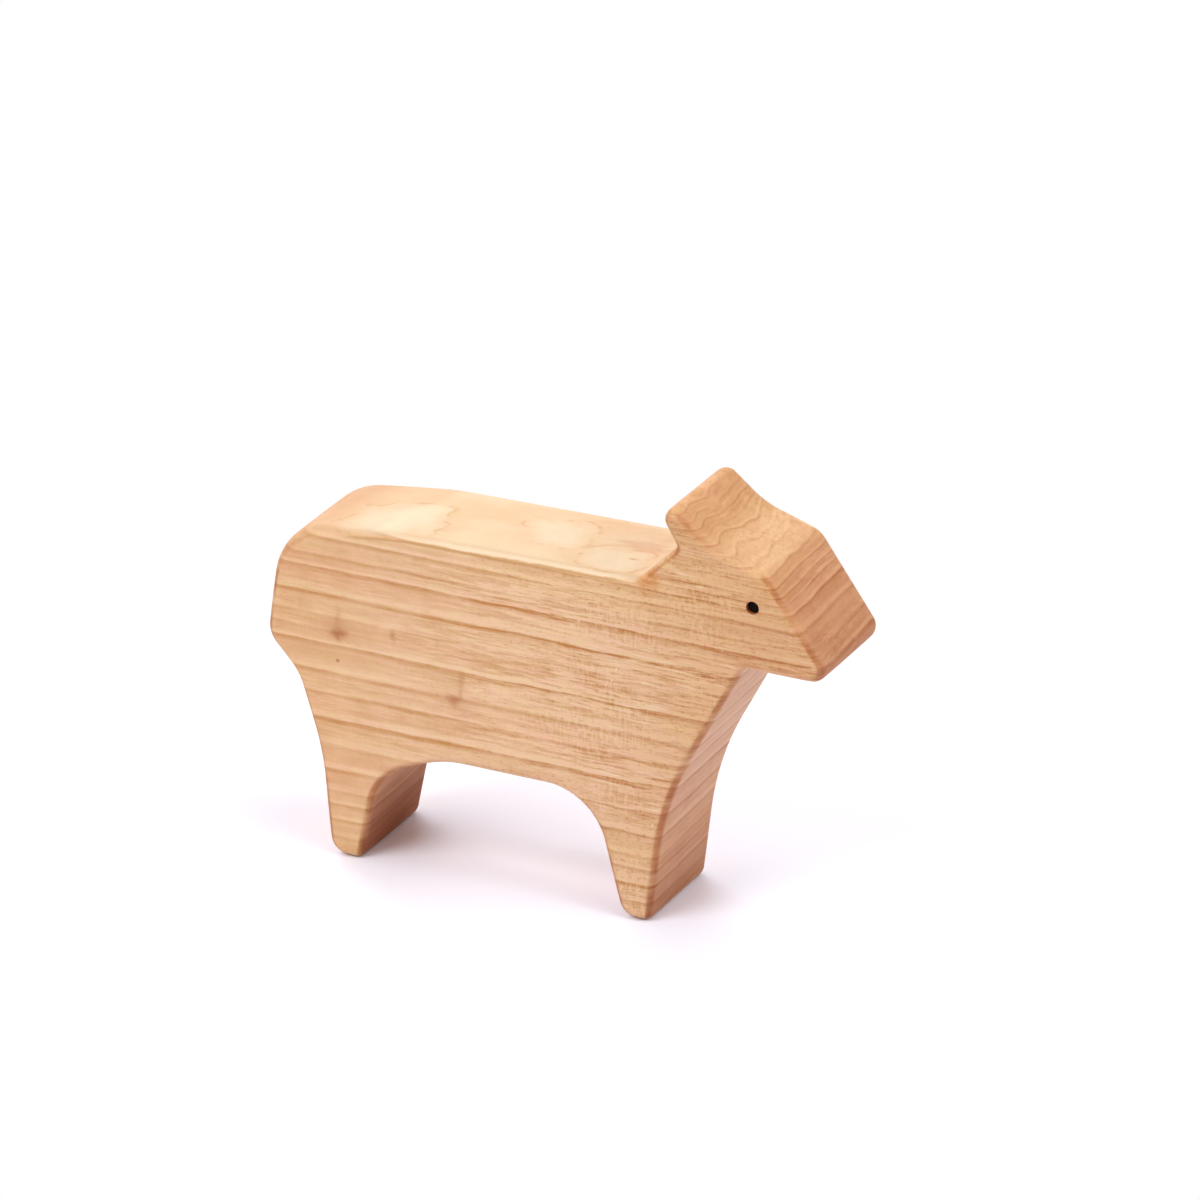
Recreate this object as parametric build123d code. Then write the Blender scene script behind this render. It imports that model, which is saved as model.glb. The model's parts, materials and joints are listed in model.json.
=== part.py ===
from build123d import *
import math
import os

# A sheep cut from one thick board, with a dark eye set in each cheek.
# Sizes are in millimetres. +X is the way the sheep faces, +Y runs across the board and +Z is up.
# The outline is drawn in the X and Z of the board's side, from the heel of the hind foot.

# The board and the sanded edge all round it
BOARD_THICKNESS = 25.0
EDGE_ROUND = 1.6

# Heights above the table
BACK_HEIGHT = 70.3
BELLY_HEIGHT = 24.1

# Feet along the table, from the hind heel forwards
HIND_FOOT_LENGTH = 6.7
FEET_APART = 55.1
FORE_FOOT_LENGTH = 6.1
FOOT_ROUND = 2.3

# Hind end: the thigh swells back to a tail corner, and the rump rises from there and slopes to the back
TAIL_OVERHANG = 13.1
TAIL_DROP = 26.9
TAIL_ROUND = 5.5
RUMP_LEAN = 2.9
RUMP_ROUND = 12.5
CROUP_LENGTH = 26.0
CROUP_RISE = 3.1
CROUP_ROUND = 80.0
BACK_FALL = 0.8
HAUNCH_OVERHANG = 6.6
HAUNCH_BELOW_TAIL = 7.1
HAUNCH_ROUND = 12.0
HOCK_OVERHANG = 1.9
HOCK_BELOW_HAUNCH = 15.1
HOCK_ROUND = 60.0

# The arch between the legs, steeper at the fore leg and stepped at the thigh
FORE_ARCH_LEAN = 6.25
FORE_ARCH_ROUND = 12.5
THIGH_STEP_HEIGHT = 18.7
THIGH_STEP_LEAN = 3.8
THIGH_STEP_ROUND = 11.5
FLANK_RUN = 13.8
FLANK_ROUND = 24.0

# Chest and head
KNEE_HEIGHT = 25.2
KNEE_REACH = 2.95
CHEST_ROUND = 62.0
CHEST_REACH = 16.1
JAW_DROP = 14.4
THROAT_ROUND = 2.0
JAW_LENGTH = 18.9
CHIN_ROUND = 2.8
NOSE_LEAN = 14.4
BROW_RISE = 5.5
BROW_ROUND = 5.0
FOREHEAD_RISE = 3.95
FOREHEAD_ROUND = 20.0

# Neck and ear: the ear is a short stub with a round tip, over the nick behind the head
NECK_LENGTH = 7.2
NECK_RISE = 7.4
NECK_ROUND = 5.0
NAPE_WIDTH = 14.1
NICK_ROUND = 0.8
EAR_ROOT_WIDTH = 7.4
EAR_RISE = 5.15
EAR_SET_BACK = 0.4
EAR_ROUND = 2.3

# The eyes: a drilled hole in each cheek, with a dark plug seated on its floor
EYE_DIAMETER = 2.5
EYE_DEPTH = 3.0
EYE_RECESS = 0.6
EYE_CLEARANCE = 0.03
EYE_BEHIND_BROW = 2.6
EYE_BELOW_BROW = 6.8


def rounded_path(start, corners, end):
    """Straight runs from start to end, with a tangent arc of its own radius at each corner."""
    points = [start] + [corner for corner, radius in corners] + [end]
    edges = []
    reached = start
    for before, (corner, radius), after in zip(points, corners, points[2:]):
        back = (before - corner).normalized()
        ahead = (after - corner).normalized()
        half_angle = math.radians(back.get_angle(ahead)) / 2
        inwards = (back + ahead).normalized()
        arc_start = corner + back * (radius / math.tan(half_angle))
        arc_middle = corner + inwards * (radius / math.sin(half_angle) - radius)
        arc_end = corner + ahead * (radius / math.tan(half_angle))
        edges.append(Line(reached, arc_start))
        edges.append(ThreePointArc(arc_start, arc_middle, arc_end))
        reached = arc_end
    edges.append(Line(reached, end))
    return edges


def touch_point(point, centre, radius, side):
    """Where a straight line from the point touches a circle, on the side given by +1 or -1."""
    reach = point - centre
    turn = side * math.degrees(math.acos(radius / reach.length))
    return centre + reach.normalized().rotate(Axis.Z, turn) * radius


def sheep_outline():
    """The side view as one closed face, and the point of the brow that places the eyes."""
    hind_toe = HIND_FOOT_LENGTH
    fore_heel = hind_toe + FEET_APART
    fore_toe = fore_heel + FORE_FOOT_LENGTH
    tail = Vector(-TAIL_OVERHANG, BACK_HEIGHT - TAIL_DROP)
    croup = Vector(tail.X + RUMP_LEAN + CROUP_LENGTH, BACK_HEIGHT - BACK_FALL)
    rump = croup - Vector(CROUP_LENGTH, CROUP_RISE)
    haunch = Vector(-HAUNCH_OVERHANG, tail.Y - HAUNCH_BELOW_TAIL)
    hock = Vector(-HOCK_OVERHANG, haunch.Y - HOCK_BELOW_HAUNCH)
    knee = fore_toe + KNEE_REACH
    throat = knee + CHEST_REACH
    jaw = BACK_HEIGHT - JAW_DROP
    chin = throat + JAW_LENGTH
    brow = Vector(chin - NOSE_LEAN, BACK_HEIGHT + BROW_RISE)
    nick = Vector(throat - NAPE_WIDTH, BACK_HEIGHT + NECK_RISE)
    forehead = Vector(nick.X + EAR_ROOT_WIDTH, brow.Y + FOREHEAD_RISE)
    ear_centre = nick + Vector(-EAR_SET_BACK, EAR_RISE)
    thigh = hind_toe + THIGH_STEP_LEAN

    ear_front = touch_point(forehead, ear_centre, EAR_ROUND, 1)
    ear_rear = touch_point(nick, ear_centre, EAR_ROUND, -1)
    ear_root = (forehead + nick) / 2
    ear_tip = ear_centre + (ear_centre - ear_root).normalized() * EAR_ROUND

    corners = [
        (forehead, FOREHEAD_ROUND),
        (brow, BROW_ROUND),
        (Vector(chin, jaw), CHIN_ROUND),
        (Vector(throat, jaw), THROAT_ROUND),
        (Vector(knee, KNEE_HEIGHT), CHEST_ROUND),
        (Vector(fore_toe, 0), FOOT_ROUND),
        (Vector(fore_heel, 0), FOOT_ROUND),
        (Vector(fore_heel - FORE_ARCH_LEAN, BELLY_HEIGHT), FORE_ARCH_ROUND),
        (Vector(thigh + FLANK_RUN, BELLY_HEIGHT), FLANK_ROUND),
        (Vector(thigh, THIGH_STEP_HEIGHT), THIGH_STEP_ROUND),
        (Vector(hind_toe, 0), FOOT_ROUND),
        (Vector(0, 0), FOOT_ROUND),
        (hock, HOCK_ROUND),
        (haunch, HAUNCH_ROUND),
        (tail, TAIL_ROUND),
        (rump, RUMP_ROUND),
        (croup, CROUP_ROUND),
        (nick - Vector(NECK_LENGTH, NECK_RISE), NECK_ROUND),
        (nick, NICK_ROUND),
    ]
    edges = rounded_path(ear_front, corners, ear_rear)
    edges.append(ThreePointArc(ear_rear, ear_tip, ear_front))
    return make_face(edges), brow


def eye_cylinder(brow, side, radius, near, far):
    """A cylinder across the cheek on one side, from one depth below its face to another."""
    middle = side * (BOARD_THICKNESS / 2 - (near + far) / 2)
    place = Pos(brow.X - EYE_BEHIND_BROW, middle, brow.Y - EYE_BELOW_BROW)
    return place * Rot(X=90) * Cylinder(radius, far - near)


def wooden_body(outline, brow):
    """The whole animal in one piece of board, edges rounded over and both eye holes drilled."""
    block = extrude(Plane.XZ * outline, BOARD_THICKNESS / 2, both=True)
    sides = block.faces().sort_by(Axis.Y)
    block = fillet(sides[0].edges() + sides[-1].edges(), EDGE_ROUND)
    for side in (-1, 1):
        block -= eye_cylinder(brow, side, EYE_DIAMETER / 2, 0, EYE_DEPTH)
    return block


outline, brow = sheep_outline()
pieces = {"wooden_body": wooden_body(outline, brow)}
for name, side in (("right_eye", -1), ("left_eye", 1)):
    radius = EYE_DIAMETER / 2 - EYE_CLEARANCE
    pieces[name] = eye_cylinder(brow, side, radius, EYE_RECESS, EYE_DEPTH)

# The origin is on the table, midway between rump and muzzle and midway through the board
middle = pieces["wooden_body"].bounding_box().center().X
os.makedirs("parts", exist_ok=True)
for name, piece in pieces.items():
    placed = Pos(X=-middle) * piece
    export_step(placed, f"parts/{name}.step")
    box = placed.bounding_box()
    print(name, [round(v, 2) for v in box.min], [round(v, 2) for v in box.max])
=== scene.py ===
# %% [markdown]
# A wooden sheep, finished in Blender
#
# The toy is one thick piece of board, sawn to the outline of a sheep, sanded round all its edges
# and rubbed with oil. A dark plug sits in a drilled hole in each cheek. The frame holds the three
# solids at their real size, and this lesson gives them the surface that a hand and a tree gave the
# real one. Everything is in metres, but the toy's own sizes are written in millimetres.

# %% Load the frame
import json
import math

import bpy
import numpy as np
from mathutils import Matrix, Vector
from mathutils.geometry import delaunay_2d_cdt

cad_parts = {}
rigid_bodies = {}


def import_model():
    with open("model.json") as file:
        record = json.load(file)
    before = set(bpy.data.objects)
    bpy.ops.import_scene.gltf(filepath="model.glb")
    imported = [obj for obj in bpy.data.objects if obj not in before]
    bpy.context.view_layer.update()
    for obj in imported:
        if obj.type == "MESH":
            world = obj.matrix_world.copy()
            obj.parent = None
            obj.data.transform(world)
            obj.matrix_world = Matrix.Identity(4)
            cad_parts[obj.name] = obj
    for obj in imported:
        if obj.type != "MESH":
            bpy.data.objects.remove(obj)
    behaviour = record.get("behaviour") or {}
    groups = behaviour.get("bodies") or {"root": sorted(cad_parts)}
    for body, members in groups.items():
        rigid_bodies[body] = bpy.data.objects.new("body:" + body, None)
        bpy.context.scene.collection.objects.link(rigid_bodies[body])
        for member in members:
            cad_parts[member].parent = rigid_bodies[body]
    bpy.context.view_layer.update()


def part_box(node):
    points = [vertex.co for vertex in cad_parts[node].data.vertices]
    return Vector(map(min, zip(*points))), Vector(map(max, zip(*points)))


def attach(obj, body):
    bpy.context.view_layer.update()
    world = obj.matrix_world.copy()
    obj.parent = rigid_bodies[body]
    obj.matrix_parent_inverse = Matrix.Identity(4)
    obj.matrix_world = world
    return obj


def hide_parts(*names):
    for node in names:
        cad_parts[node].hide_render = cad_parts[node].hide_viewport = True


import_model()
MM = 0.001
body_low, body_high = (np.array(corner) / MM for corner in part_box("wooden_body"))
print("board, mm:", np.round(body_high - body_low, 2))

# %% [markdown]
# The camera comes first, because everything else is seen through it. A long lens far away keeps the
# toy's edges nearly parallel. The camera's own axes are built from two angles, how far it is turned round
# the toy and how high it looks down from, and the place follows by stepping back from the point that it
# aims at.

# %% Camera
CAMERA_TURN = math.radians(26.48)
CAMERA_RISE = math.radians(24.09)
CAMERA_AIM = Vector((-0.0013, 0.0152, 0.0506))
CAMERA_DISTANCE = 1.6
CAMERA_LENS = 254.2

camera_back = Vector((
    math.sin(CAMERA_TURN) * math.cos(CAMERA_RISE),
    -math.cos(CAMERA_TURN) * math.cos(CAMERA_RISE),
    math.sin(CAMERA_RISE),
))
camera_right = Vector((math.cos(CAMERA_TURN), math.sin(CAMERA_TURN), 0))
camera_up = camera_back.cross(camera_right)

camera = bpy.data.objects.new("camera", bpy.data.cameras.new("camera"))
bpy.context.scene.collection.objects.link(camera)
axes = Matrix((camera_right, camera_up, camera_back)).transposed().to_4x4()
camera.matrix_world = Matrix.Translation(CAMERA_AIM + camera_back * CAMERA_DISTANCE) @ axes
camera.data.lens = CAMERA_LENS
bpy.context.scene.camera = camera
print("camera at", [round(v, 4) for v in camera.matrix_world.translation])

# %% [markdown]
# The outline is what the saw followed. It could be drawn as a Bezier curve, but the saw went along
# straight runs and rounded corners, so it is written that way: twenty corners, each with the
# radius that it was rounded to, in millimetres from the heel of the hind foot. The ear's corner is
# where its two straight sides would meet, high above the rounded tip.

# %% Outline of the sheep
CORNERS = {
    "ear": (64.27, 92.05, 2.3),
    "forehead": (80.25, 79.75, 20.0),
    "brow": (91.45, 75.8, 5.0),
    "chin": (105.85, 55.9, 2.8),
    "throat": (86.95, 55.9, 2.0),
    "knee": (70.85, 25.2, 62.0),
    "fore_toe": (67.9, 0.0, 1.6),
    "fore_heel": (61.8, 0.0, 3.6),
    "fore_arch": (55.55, 24.1, 12.5),
    "flank": (24.3, 24.1, 24.0),
    "thigh": (10.5, 18.7, 11.5),
    "hind_toe": (6.7, 0.0, 1.6),
    "hind_heel": (0.0, 0.0, 3.6),
    "hock": (-1.9, 21.2, 60.0),
    "haunch": (-6.6, 36.3, 12.0),
    "tail": (-13.1, 43.4, 5.5),
    "rump": (-10.2, 66.4, 12.5),
    "croup": (15.8, 69.5, 80.0),
    "neck_foot": (65.65, 70.3, 5.0),
    "nick": (72.85, 77.7, 0.8),
}


def length_of(vectors):
    """The length of each vector in an array of them, kept as a column."""
    return np.linalg.norm(vectors, axis=-1, keepdims=True)


def rounded_outline(corners, arc_points=40):
    """Each corner is cut back by its radius over the tangent of half its angle, and an arc fills it.

    The arc's point at share t turns from one tangent point to the other about the arc's centre,
    which lies on the line that halves the corner. Arcs in order, joined by straight runs, are the outline.
    """
    point, radius = corners[:, :2], corners[:, 2:]
    behind = np.roll(point, 1, axis=0) - point
    ahead = np.roll(point, -1, axis=0) - point
    behind, ahead = behind / length_of(behind), ahead / length_of(ahead)
    half_angle = np.arccos((behind * ahead).sum(axis=1, keepdims=True)) / 2
    halving = (behind + ahead) / length_of(behind + ahead)
    centre = point + halving * radius / np.sin(half_angle)
    start = point + behind * radius / np.tan(half_angle) - centre
    cross = behind[:, :1] * ahead[:, 1:] - behind[:, 1:] * ahead[:, :1]
    turn = -np.sign(cross) * (np.pi - 2 * half_angle) * np.linspace(0, 1, arc_points)
    arc_x = centre[:, :1] + start[:, :1] * np.cos(turn) - start[:, 1:] * np.sin(turn)
    arc_z = centre[:, 1:] + start[:, :1] * np.sin(turn) + start[:, 1:] * np.cos(turn)
    return np.stack([arc_x.ravel(), arc_z.ravel()], axis=1)


def even_steps(path, step, bend_length=2.0):
    """The closed path again at even steps, counting each radian of turning as some length too.

    Points so come closer together where the path bends sharply.
    """
    run = np.roll(path, -1, axis=0) - path
    heading = np.unwrap(np.arctan2(run[:, 1], run[:, 0]))
    turning = np.abs(np.diff(heading, append=heading[-1]))
    travelled = np.concatenate([[0], np.cumsum(np.hypot(*run.T) + bend_length * turning)])
    stops = np.linspace(0, travelled[-1], int(travelled[-1] / step), endpoint=False)
    closed = np.vstack([path, path[:1]])
    return np.stack([np.interp(stops, travelled, closed[:, i]) for i in range(2)], axis=1)


OUTLINE_STEP = 0.42
corner_values = np.array(list(CORNERS.values()))
outline = even_steps(rounded_outline(corner_values), OUTLINE_STEP)
heel_x = body_low[0] - outline[:, 0].min()
outline[:, 0] += heel_x
tangent = np.roll(outline, -1, axis=0) - np.roll(outline, 1, axis=0)
tangent /= length_of(tangent)
outward = np.stack([-tangent[:, 1], tangent[:, 0]], axis=1)
travel = np.concatenate([[0], np.cumsum(length_of(np.diff(outline, axis=0)))])
outline_low, outline_high = outline.min(axis=0), outline.max(axis=0)
print("outline points:", len(outline), "low", outline_low.round(2), "high", outline_high.round(2))

# %% [markdown]
# The rim of the toy is a profile carried along that outline: from one side face, over a rounded
# edge, across the board's thickness and over the other edge. A Bevel modifier would give every
# edge the same machine-made radius. A hand with sandpaper doesn't, so the radius here swells and
# shrinks along the way. It grows at the corners that the paper goes round most, and is smaller at the
# toes, which stay crisp.

# %% Rim between the two side faces
EDGE_ROUND = 1.6
EDGE_DEPTH = 1.9
EDGE_UNEVEN = 0.1
RIM_CROWN = 0.03
SANDING_DIP = 0.03
FACE_DIP = 0.06
INNER_RING = 0.15
ROUND_STEPS = 9
RIM_STEPS = 14
UNEVEN_WAVES = ((5, 1.0), (8, 2.1), (13, 3.7))
DIP_WAVES, DIP_SLANT = 7, 5.7
NEAR_PHASE, FAR_PHASE = 0.4, 2.3
# Each corner adds a share to the edge's radius and to its depth, over a reach in millimetres
SOFTER_CORNERS = {
    "ear": (0.05, 0.9, 9.0),
    "forehead": (0.30, 0.4, 8.0),
    "chin": (0.05, 0.4, 4.0),
    "rump": (0.70, 0.8, 9.0),
    "fore_toe": (-0.20, 0.2, 3.5),
    "fore_heel": (0.0, 0.4, 4.0),
    "hind_toe": (-0.20, 0.2, 3.5),
    "hind_heel": (0.0, 0.4, 4.0),
}

half_board = (body_high[1] - body_low[1]) / 2
face_edge = half_board - FACE_DIP
lap = 2 * np.pi * travel[:, None] / (travel[-1] + OUTLINE_STEP)


def uneven(phase):
    """A slow rise and fall along the outline, from -1 to 1: the mean of a few sine waves.

    Each fits into the outline a whole number of times, so that it closes on itself.
    """
    waves = [np.sin(count * lap + shift * phase) for count, shift in UNEVEN_WAVES]
    return sum(waves) / len(waves)


def softer(which):
    """What some corners add to an edge: a share times e to the power of minus (distance / reach) squared."""
    added = np.zeros_like(lap)
    for name, extra in SOFTER_CORNERS.items():
        away = length_of(outline - np.array([CORNERS[name][0] + heel_x, CORNERS[name][1]]))
        added += extra[which] * np.exp(-(away / extra[2]) ** 2)
    return added


def rim_half(side, phase):
    """Rows of (inset, y) from a side face to the middle of the rim, for one side of the board.

    On the rounded edge at angle t, inset is the radius times 1 - sin t and y is the face's less the
    depth times 1 - cos t. The middle of the rim stands a little higher than its edges.
    """
    angle = np.linspace(0, np.pi / 2, ROUND_STEPS)[None, :]
    radius = EDGE_ROUND * (1 + EDGE_UNEVEN * uneven(phase) + softer(0))
    depth = EDGE_DEPTH * (1 + EDGE_UNEVEN * uneven(phase + 1) + softer(1))
    edge_y = face_edge - depth * (1 - np.cos(angle))
    flat_y = (face_edge - depth) * np.linspace(1, 0, RIM_STEPS)[None, 1:]
    edge_inset = RIM_CROWN + radius * (1 - np.sin(angle))
    flat_inset = RIM_CROWN * (flat_y / (face_edge - depth)) ** 2
    ring_inset = edge_inset[:, :1] + INNER_RING
    inset = np.hstack([ring_inset, edge_inset, flat_inset])
    y = np.hstack([edge_y[:, :1], edge_y, flat_y])
    dip = SANDING_DIP * (1 + np.sin(DIP_WAVES * lap + side * y / DIP_SLANT)) / 2
    return inset + dip, side * y


near_inset, near_y = rim_half(-1, NEAR_PHASE)
far_inset, far_y = rim_half(1, FAR_PHASE)
rim_inset = np.hstack([near_inset, far_inset[:, -2::-1]])
rim_y = np.hstack([near_y, far_y[:, -2::-1]])
rim = np.stack([
    outline[:, :1] - rim_inset * outward[:, :1],
    rim_y,
    outline[:, 1:] - rim_inset * outward[:, 1:],
], axis=-1)
print("rim grid:", rim.shape[:2])

# %% [markdown]
# A grid of points becomes faces by joining each point to its right and upper neighbours. The same
# few lines serve every piece, so they are a function. Here the grid's rows go round the outline
# and join up with the first.


# %% Faces of a grid
def grid_faces(rows, columns, first=0):
    """Quads of a grid whose last row joins the first: each is a point, the next row, the next column."""
    index = first + np.arange(rows * columns).reshape(rows, columns)
    after = np.roll(index, -1, axis=0)
    quads = np.stack([index[:, :-1], after[:, :-1], after[:, 1:], index[:, 1:]], axis=-1)
    return quads.reshape(-1, 4)


def make_piece(name, points, faces):
    """A smooth-shaded mesh object at the origin, from points in millimetres and lists of faces."""
    mesh = bpy.data.meshes.new(name)
    mesh.from_pydata((points * MM).tolist(), [], [face for part in faces for face in part.tolist()])
    mesh.validate()
    mesh.shade_smooth()
    piece = bpy.data.objects.new(name, mesh)
    bpy.context.scene.collection.objects.link(piece)
    return piece


rim_rows, rim_columns = rim.shape[:2]
rim_faces = grid_faces(rim_rows, rim_columns)
print("rim faces:", len(rim_faces))

# %% [markdown]
# The eye holes are drilled into the cheeks. A drill leaves a round wall, a flat floor and, after
# sanding, a rim that is softened by a hair. This is a turned shape, so it is a profile of radius
# and depth swung round the drill's axis.

# %% Eye holes
EYE_TURN = 48
HOLE_SOFTENING = 0.12
HOLE_DEPTH = 3.0
PLUG_CLEARANCE = 0.03
SOFT_STEPS = 5
INNERMOST = 0.05
FLOOR_RINGS = (1.0, 0.5, INNERMOST)

plug_low, plug_high = (np.array(corner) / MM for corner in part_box("right_eye"))
eye_centre = (plug_low + plug_high)[[0, 2]] / 2
plug_radius = (plug_high[0] - plug_low[0]) / 2
hole_radius = plug_radius + PLUG_CLEARANCE


def turned(profile, side):
    """Rows of points where each (radius, depth) of the profile is swung round the eye's axis.

    A point at angle t is the eye's centre plus radius times (cos t, sin t), at depth below the cheek.
    """
    angle = np.linspace(0, 2 * np.pi, EYE_TURN, endpoint=False)[:, None]
    radius, depth = profile[:, 0][None, :], profile[:, 1][None, :]
    x = eye_centre[0] + radius * np.cos(angle)
    z = eye_centre[1] + radius * np.sin(angle)
    return np.stack(np.broadcast_arrays(x, side * (half_board - depth), z), axis=-1)


def on_axis(side, *depths):
    """Points on the eye's axis, at depths below the cheek."""
    return np.array([[eye_centre[0], side * (half_board - depth), eye_centre[1]] for depth in depths])


quarter_turn = np.linspace(0, np.pi / 2, SOFT_STEPS)
hole_profile = np.vstack([
    np.stack([
        hole_radius + HOLE_SOFTENING * (1 - np.sin(quarter_turn)),
        HOLE_SOFTENING * (1 - np.cos(quarter_turn)),
    ], axis=1),
    [[hole_radius * share, HOLE_DEPTH] for share in FLOOR_RINGS],
])
print("eye hole: radius", round(hole_radius, 3), "at", eye_centre.round(2))

# %% [markdown]
# The side faces are flat sawn faces that the sander has eased towards their edges. A single
# many-sided face would shade badly, so a lattice of points is laid over the face, trimmed to the
# outline, and joined up by Blender's own triangulation with the rim's inner ring and the eye hole as
# its borders. A point's distance from the outline says how far the face has dipped there.

# %% Side faces
LATTICE_STEP = 1.3
LATTICE_MARGIN, HOLE_MARGIN = 0.75, 0.25
DIP_WIDTH = 7.0
INSIDE_BORDERS = 1
SAME_POINT = 1e-7


def inside(points, loop):
    """True where a level line from a point crosses a closed loop an odd number of times."""
    start, end = loop[None], np.roll(loop, -1, axis=0)[None]
    z = points[:, None, 1]
    straddles = (start[..., 1] > z) != (end[..., 1] > z)
    rise = np.where(straddles, end[..., 1] - start[..., 1], 1)
    crossing = start[..., 0] + (z - start[..., 1]) * (end[..., 0] - start[..., 0]) / rise
    return (straddles & (points[:, None, 0] < crossing)).sum(axis=1) % 2 == 1


def gap_to(points, loop):
    """Each point's distance to the nearest point of a loop."""
    return np.sqrt(((points[:, None] - loop[None]) ** 2).sum(axis=-1).min(axis=1))


def face_depth(points):
    """How far the sander has dipped the face: all of FACE_DIP at the edge, easing to none inside."""
    share = np.clip((gap_to(points, outline) - EDGE_ROUND) / DIP_WIDTH, 0, 1)
    return FACE_DIP * (1 - share * share * (3 - 2 * share))


def side_face(ring, hole_rim):
    """Lattice points on a side face, and triangles over ring, hole and lattice points in that order."""
    spread = [np.arange(low, high, LATTICE_STEP) for low, high in zip(ring.min(axis=0), ring.max(axis=0))]
    lattice = np.stack(np.meshgrid(*spread), axis=-1).reshape(-1, 2)
    lattice = lattice[inside(lattice, ring) & ~inside(lattice, hole_rim)]
    clear = (gap_to(lattice, ring) > LATTICE_MARGIN) & (gap_to(lattice, hole_rim) > HOLE_MARGIN)
    lattice = lattice[clear]
    points = np.vstack([ring, hole_rim, lattice])
    loops = [np.arange(len(ring)), len(ring) + np.arange(len(hole_rim))]
    borders = np.vstack([np.stack([loop, np.roll(loop, -1)], axis=1) for loop in loops])
    flat = [Vector(point) for point in points.tolist()]
    filled = delaunay_2d_cdt(flat, borders.tolist(), [], INSIDE_BORDERS, SAME_POINT)
    triangles = np.array(filled[2])
    over_hole = inside(points[triangles].mean(axis=1), hole_rim)
    return lattice, triangles[~over_hole]


print("side faces: a point every", LATTICE_STEP, "mm")

# %% [markdown]
# The body is one closed skin: the rim, and for each side the wall and floor of the eye hole and the side
# face, sharing their border points so that there is no seam. The far side is laid out like the near one in
# a mirror, so its faces are written backwards to point outwards too. The skin's volume, printed below,
# shows that they do when it comes out above zero.


# %% The whole body
def solid_body():
    """The whole body: rim, then for each side the hole's wall and floor and the side face."""
    points = [rim.reshape(-1, 3)]
    faces = [rim_faces]
    for side, column in ((-1, 0), (1, rim_columns - 1)):
        first = sum(map(len, points))
        wall = turned(hole_profile, side)
        points.append(wall.reshape(-1, 3))
        floor_centre = first + wall.shape[0] * wall.shape[1]
        points.append(on_axis(side, HOLE_DEPTH))
        wall_faces = grid_faces(*wall.shape[:2], first)
        last = first + np.arange(wall.shape[0]) * wall.shape[1] + wall.shape[1] - 1
        fan = np.stack([last, np.roll(last, -1), np.full_like(last, floor_centre)], axis=1)
        ring = rim[:, column][:, [0, 2]]
        lattice, triangles = side_face(ring, wall[:, 0][:, [0, 2]])
        lattice_first = floor_centre + 1
        lattice_y = side * (half_board - face_depth(lattice))
        points.append(np.stack([lattice[:, 0], lattice_y, lattice[:, 1]], axis=1))
        number = np.concatenate([
            np.arange(rim_rows) * rim_columns + column,
            first + np.arange(wall.shape[0]) * wall.shape[1],
            lattice_first + np.arange(len(lattice)),
        ])
        parts = [wall_faces, fan, number[triangles]]
        faces += parts if side < 0 else [part[:, ::-1] for part in parts]
    return make_piece("sheep_body", np.vstack(points), faces)


def points_of(piece):
    """A piece's points as rows of x, y and z, in metres."""
    values = np.zeros(len(piece.data.vertices) * 3)
    piece.data.vertices.foreach_get("co", values)
    return values.reshape(-1, 3)


def volume_of(piece):
    """Cubic millimetres in a closed piece: over its triangles, a sixth of the sum of a . (b x c)."""
    piece.data.calc_loop_triangles()
    corners = np.zeros(len(piece.data.loop_triangles) * 3, dtype=np.int32)
    piece.data.loop_triangles.foreach_get("vertices", corners)
    a, b, c = (points_of(piece)[corners.reshape(-1, 3)] / MM).swapaxes(0, 1)
    return (a * np.cross(b, c)).sum() / 6


sheep_body = solid_body()
print("body:", len(sheep_body.data.polygons), "faces, volume", round(volume_of(sheep_body)), "cubic mm")

# %% [markdown]
# Each eye is a short plug pressed to the floor of its hole, a little below the cheek. It is turned
# too: its face is a shallow dome with a rounded edge, so that a light in the room finds it. The
# two ends of the profile are closed with a fan of triangles to a point on the axis.

# %% Eye plugs
PLUG_DOME = 0.10
PLUG_EDGE = 0.16
DOME_STEPS = 7

plug_recess = half_board - abs(plug_low[1])
plug_reach = half_board - abs(plug_high[1])

innermost_radius = plug_radius * INNERMOST
face_radius = np.linspace(plug_radius - PLUG_EDGE, innermost_radius, DOME_STEPS)
plug_profile = np.vstack([
    [[innermost_radius, plug_reach], [plug_radius, plug_reach]],
    np.stack([
        plug_radius - PLUG_EDGE * (1 - np.cos(quarter_turn)),
        plug_recess + PLUG_DOME + PLUG_EDGE * (1 - np.sin(quarter_turn)),
    ], axis=1),
    np.stack([face_radius, plug_recess + PLUG_DOME * (face_radius / plug_radius) ** 2], axis=1)[1:],
])


def eye_plug(name, side):
    """The plug's profile swung round the eye's axis, with both ends closed."""
    grid = turned(plug_profile, side)
    rows, columns = grid.shape[:2]
    poles = on_axis(side, plug_reach, plug_recess)
    back_ring = np.arange(rows) * columns
    face_ring = back_ring + columns - 1
    back_pole, face_pole = rows * columns, rows * columns + 1
    faces = [
        grid_faces(rows, columns),
        np.stack([np.roll(back_ring, -1), back_ring, np.full(rows, back_pole)], axis=1),
        np.stack([face_ring, np.roll(face_ring, -1), np.full(rows, face_pole)], axis=1),
    ]
    points = np.vstack([grid.reshape(-1, 3), poles])
    return make_piece(name, points, faces if side < 0 else [part[:, ::-1] for part in faces])


eyes = {"right_eye": eye_plug("eye_plug_right", -1), "left_eye": eye_plug("eye_plug_left", 1)}
print("eye plugs:", [round(volume_of(eye), 2) for eye in eyes.values()], "cubic mm")
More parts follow.
